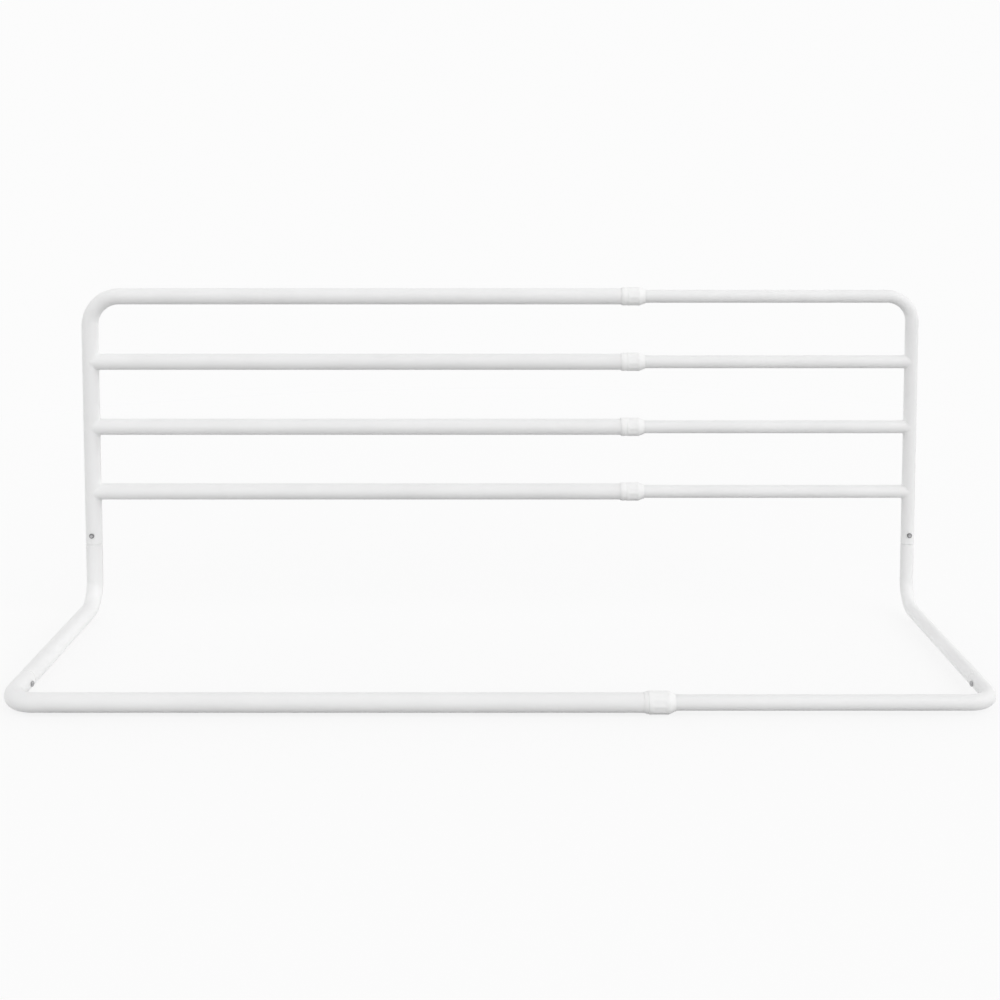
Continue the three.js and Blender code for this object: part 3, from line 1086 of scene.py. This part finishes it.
sleeve = dress(
    "base_lock_sleeve_moulded", lock_sleeve_mesh(), "left_half", "white_plastic", white_plastic,
    "base_lock_sleeve", place=Matrix.Translation((flange_start, front_y, base_z)),
)
print("lock sleeve", round(1000 * (sleeve_tip - sleeve_back), 1), "mm long")

# %% [markdown]
# The slits of the neck are narrow straight cuts through a round wall, the kind of cut that a Boolean
# modifier does well, so here one is used and applied. A cutter goes right through the neck, so three of
# them make six slits.

# %% Slits of the neck
slit_width = 0.0012
slit_length = 0.013
slit_pairs = 3


def slit_cutter(angle):
    """A thin block across the tip of the neck, so tall that it sticks out on both sides."""
    cutter = bmesh.new()
    bmesh.ops.create_cube(cutter, size=1)
    size = Vector((2 * slit_length, slit_width, 4 * neck_radius))
    bmesh.ops.scale(cutter, vec=size, verts=cutter.verts)
    bmesh.ops.translate(cutter, vec=(sleeve_tip, 0, 0), verts=cutter.verts)
    bmesh.ops.rotate(cutter, cent=(0, 0, 0), matrix=Matrix.Rotation(angle, 3, "X"), verts=cutter.verts)
    mesh = bpy.data.meshes.new("slit_cutter")
    cutter.to_mesh(mesh)
    cutter.free()
    return add_object("slit_cutter", mesh)


cutters = []
for pair in range(slit_pairs):
    cutter = slit_cutter(math.pi * pair / slit_pairs)
    cutter.matrix_world = sleeve.matrix_world.copy()
    cut = sleeve.modifiers.new("slit", "BOOLEAN")
    cut.operation = "DIFFERENCE"
    cut.solver = "EXACT"
    cut.object = cutter
    cutters.append(cutter)
bpy.context.view_layer.update()
depsgraph = bpy.context.evaluated_depsgraph_get()
slit_mesh = bpy.data.meshes.new_from_object(sleeve.evaluated_get(depsgraph))
sleeve.modifiers.clear()
sleeve.data = slit_mesh
for cutter in cutters:
    bpy.data.objects.remove(cutter)
print("slit lock sleeve of", len(slit_mesh.polygons), "faces")

# %% [markdown]
# The collar has one closed outline too. Outside it has a bevelled rim, the grip and a chamfer, and inside
# a mouth round the slim tube, the cone that closes the fingers and the groove for the ridge.

# %% Lock collar
lock_radius = round_radius("base_lock_collar")
lock_low, lock_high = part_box("base_lock_collar")
lock_length = lock_high.x - lock_low.x
lock_pocket = 0.023
lock_lip_gap = 0.0004
lock_rim_bevel = 0.0007
lock_rim_round = 0.0014
lock_cone_length = 0.009
lock_cone_round = 0.0016
lock_mouth_wall = 0.0005
lock_mouth_length = 0.0011
lock_grip_start = 0.004
lock_grip_end = 0.0235
lock_grip_depth = 0.00048
lock_grip_fade = 0.0035


def lock_collar_mesh():
    bore = neck_radius + running_gap
    lip_bore = slim_radius + lock_lip_gap
    mouth = lip_bore + lock_mouth_wall
    groove_start = ridge_start - 2 * running_gap
    groove_end = ridge_start + ridge_length
    cone_start = lock_pocket - neck_taper_length - running_gap
    corners = [
        (bore, 0, CRISP_EDGE),
        (lock_radius - lock_rim_bevel, 0, CRISP_EDGE),
        (lock_radius, 2 * lock_rim_bevel, lock_rim_round),
        (lock_radius, lock_length - lock_cone_length, lock_cone_round),
        (mouth, lock_length - lock_mouth_length, mouth_round),
        (mouth, lock_length, CRISP_EDGE),
        (lip_bore, lock_length, CRISP_EDGE),
        (lip_bore, lock_pocket, 0),
        (bore - neck_taper, lock_pocket, 0),
        (bore, cone_start, 0),
        (bore, groove_end, 0),
        (bore + ridge_height, groove_end, 0),
        (bore + ridge_height, groove_start, 0),
        (bore, groove_start, 0),
    ]
    grip = (lock_grip_start, lock_grip_end, lock_grip_depth, lock_grip_fade)
    return skin("lock_collar", gripped(outline(corners), lock_radius, *grip))


dress(
    "base_lock_collar_moulded", lock_collar_mesh(), "lock_collar", "white_plastic", white_plastic,
    "base_lock_collar", place=Matrix.Translation((lock_low.x, front_y, base_z)),
)
print("lock collar", round(1000 * lock_length, 1), "mm long")

# %% [markdown]
# ## Hidden pieces
# The nuts in the swaged ends and the guide plugs inside the wide rails never show. Finer meshes would
# change no picture, so their solids stay as they are, and get the finish of what they are made of.

# %% Hidden pieces
hidden_finishes = {"_nut": zinc_steel, "guide_plug_": white_plastic}
hidden_count = 0
for name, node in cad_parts.items():
    for part_of_name, finish in hidden_finishes.items():
        if part_of_name in name:
            node.data.materials.clear()
            node.data.materials.append(finish)
            hidden_count += 1
print("hidden pieces that keep their solids", hidden_count)

# %% [markdown]
# ## Floor, backdrop and light
# The rail stands on a plain pale floor in a white studio. What the camera and reflections see and what
# lights the rail are two things here, and the Light Path node keeps them apart.
#
# To the light the floor is grey, so it gives the undersides of the rails less light than the sky gives
# their tops. Only round the legs is it pale, because the flanks of the legs lie so low that the floor
# beside them lights them.

# %% Colour of the floor
backdrop_white = 0.972
floor_bounce = 0.37
leg_bounce = 0.8
leg_bounce_width = 0.15
leg_bounce_length = 0.24
leg_bounce_core = 0.5


def math_result(tree, operation, *values):
    node = add_node(tree, "Math", dict(enumerate(values)), operation=operation)
    return node.outputs["Value"]


def sees_backdrop(tree):
    """One for rays that only look: from the camera, from a mirror or through glass."""
    path = tree.nodes.new("ShaderNodeLightPath").outputs
    either = path["Is Camera Ray"]
    for label in ("Is Glossy Ray", "Is Transmission Ray"):
        either = math_result(tree, "MAXIMUM", either, path[label])
    return either


def bounce_round_legs(tree, place):
    """How much light the floor gives back. The place is mirrored, so one ellipse serves both legs."""
    mirrored = vector_result(tree, "ABSOLUTE", place)
    from_leg = vector_result(tree, "SUBTRACT", mirrored, (right_post_x, 0, 0))
    in_widths = vector_result(tree, "DIVIDE", from_leg, (leg_bounce_width, leg_bounce_length, 1))
    distance = vector_result(tree, "LENGTH", in_widths)
    return soft_step(tree, distance, (leg_bounce_core, 1), (leg_bounce, floor_bounce))


print("floor shades", backdrop_white, "seen,", floor_bounce, "to the light")

# %% [markdown]
# To the camera the floor is as white as the backdrop. A share of what is seen is its real shaded surface,
# which keeps the shadow of the rail, and the rest shines by itself. Far from the rail that share fades
# out, so no line shows where the floor meets the backdrop.

# %% Floor
floor_half_size = 30
floor_shade_share = 0.18
floor_shade_radius = 2.2


def floor_material():
    material = bpy.data.materials.new("studio_floor")
    material.use_nodes = True
    tree = material.node_tree
    tree.nodes.clear()
    looks = sees_backdrop(tree)
    place = tree.nodes.new("ShaderNodeTexCoord").outputs["Object"]
    bounce = bounce_round_legs(tree, place)
    colour = add_node(tree, "MapRange", {"Value": looks, "To Min": bounce, "To Max": backdrop_white})
    shaded = add_node(tree, "BsdfDiffuse", {"Color": colour.outputs["Result"]})
    bright = add_node(tree, "Emission", {"Color": (backdrop_white, backdrop_white, backdrop_white, 1)})
    distance = vector_result(tree, "LENGTH", place)
    fading = (floor_shade_radius / 2, floor_shade_radius)
    bright_share = soft_step(tree, distance, fading, (1 - floor_shade_share, 1))
    blend = add_node(tree, "MixShader", {
        "Fac": math_result(tree, "MULTIPLY", looks, bright_share),
        1: shaded.outputs["BSDF"],
        2: bright.outputs["Emission"],
    })
    add_node(tree, "OutputMaterial", {"Surface": blend.outputs["Shader"]})
    return material


floor_mesh = bpy.data.meshes.new("floor")
corner_signs = ((-1, -1), (1, -1), (1, 1), (-1, 1))
floor_corners = [(x * floor_half_size, y * floor_half_size, 0) for x, y in corner_signs]
floor_mesh.from_pydata(floor_corners, [], [(0, 1, 2, 3)])
floor_mesh.materials.append(floor_material())
floor = add_object("floor", floor_mesh)
print("floor", 2 * floor_half_size, "m wide")

# %% [markdown]
# A white studio is brightest near the horizon, where its walls stand. So the sky that lights the rail is
# a gradient: it falls off towards the zenith, and it is a little stronger on the right. A panorama of a
# studio could light the rail too, but a few nodes do the same, and their values can be changed. Nearly
# all of the light comes from the sky.

# %% World
zenith_strength = 0.2
horizon_strength = 1.97
horizon_falloff = 0.8
right_bias = 0.12
white = (1, 1, 1, 1)


def sky_strength(tree):
    """How bright the sky is in a direction."""
    direction = tree.nodes.new("ShaderNodeTexCoord").outputs["Generated"]
    part = add_node(tree, "SeparateXYZ", {"Vector": direction}).outputs
    near_horizon = add_node(tree, "MapRange", {"Value": part["Z"], "To Min": 1, "To Max": 0})
    strength = add_node(tree, "MapRange", {
        "Value": math_result(tree, "POWER", near_horizon.outputs["Result"], horizon_falloff),
        "To Min": zenith_strength,
        "To Max": horizon_strength,
    })
    side = math_result(tree, "MULTIPLY_ADD", part["X"], right_bias, 1)
    return math_result(tree, "MULTIPLY", strength.outputs["Result"], side)


def studio_world():
    """The sky for the light, and the plain backdrop for what only looks."""
    world = bpy.data.worlds.new("studio")
    world.use_nodes = True
    tree = world.node_tree
    tree.nodes.clear()
    sky = add_node(tree, "Background", {"Color": white, "Strength": sky_strength(tree)})
    backdrop = add_node(tree, "Background", {"Color": white, "Strength": backdrop_white})
    blend = add_node(tree, "MixShader", {
        "Fac": sees_backdrop(tree),
        1: sky.outputs["Background"],
        2: backdrop.outputs["Background"],
    })
    add_node(tree, "OutputWorld", {"Surface": blend.outputs["Shader"]})
    return world


bpy.context.scene.world = studio_world()
print("sky from", zenith_strength, "at the zenith to", horizon_strength, "at the horizon")

# %% [markdown]
# A sun lamp with a very wide angle stands for a softbox on the right, which tells the right flank of a
# post from its left one. An area lamp would fall off along the rail, and a sun doesn't. Together with the
# sky it lights a level surface at about one, the level at which a colour renders as it is written. The
# Standard view transform then leaves that colour as it is.

# %% Lamp
lamp_height_angle = math.radians(45)
lamp_side_angle = math.radians(55)
lamp_width_angle = math.radians(50)
lamp_share = 0.12
lamp_distance = 3

lamp_data = bpy.data.lights.new("soft_lamp", "SUN")
lamp_data.angle = lamp_width_angle
lamp_data.energy = lamp_share * math.pi
lamp = add_object("soft_lamp", lamp_data)
level = math.cos(lamp_height_angle)
lamp_from = Vector((
    level * math.sin(lamp_side_angle),
    -level * math.cos(lamp_side_angle),
    math.sin(lamp_height_angle),
))
lamp.location = lamp_from * lamp_distance
lamp.rotation_euler = (-lamp_from).to_track_quat("-Z", "Y").to_euler()
bpy.context.scene.view_settings.view_transform = "Standard"
print("lamp from", [round(value, 2) for value in lamp_from])
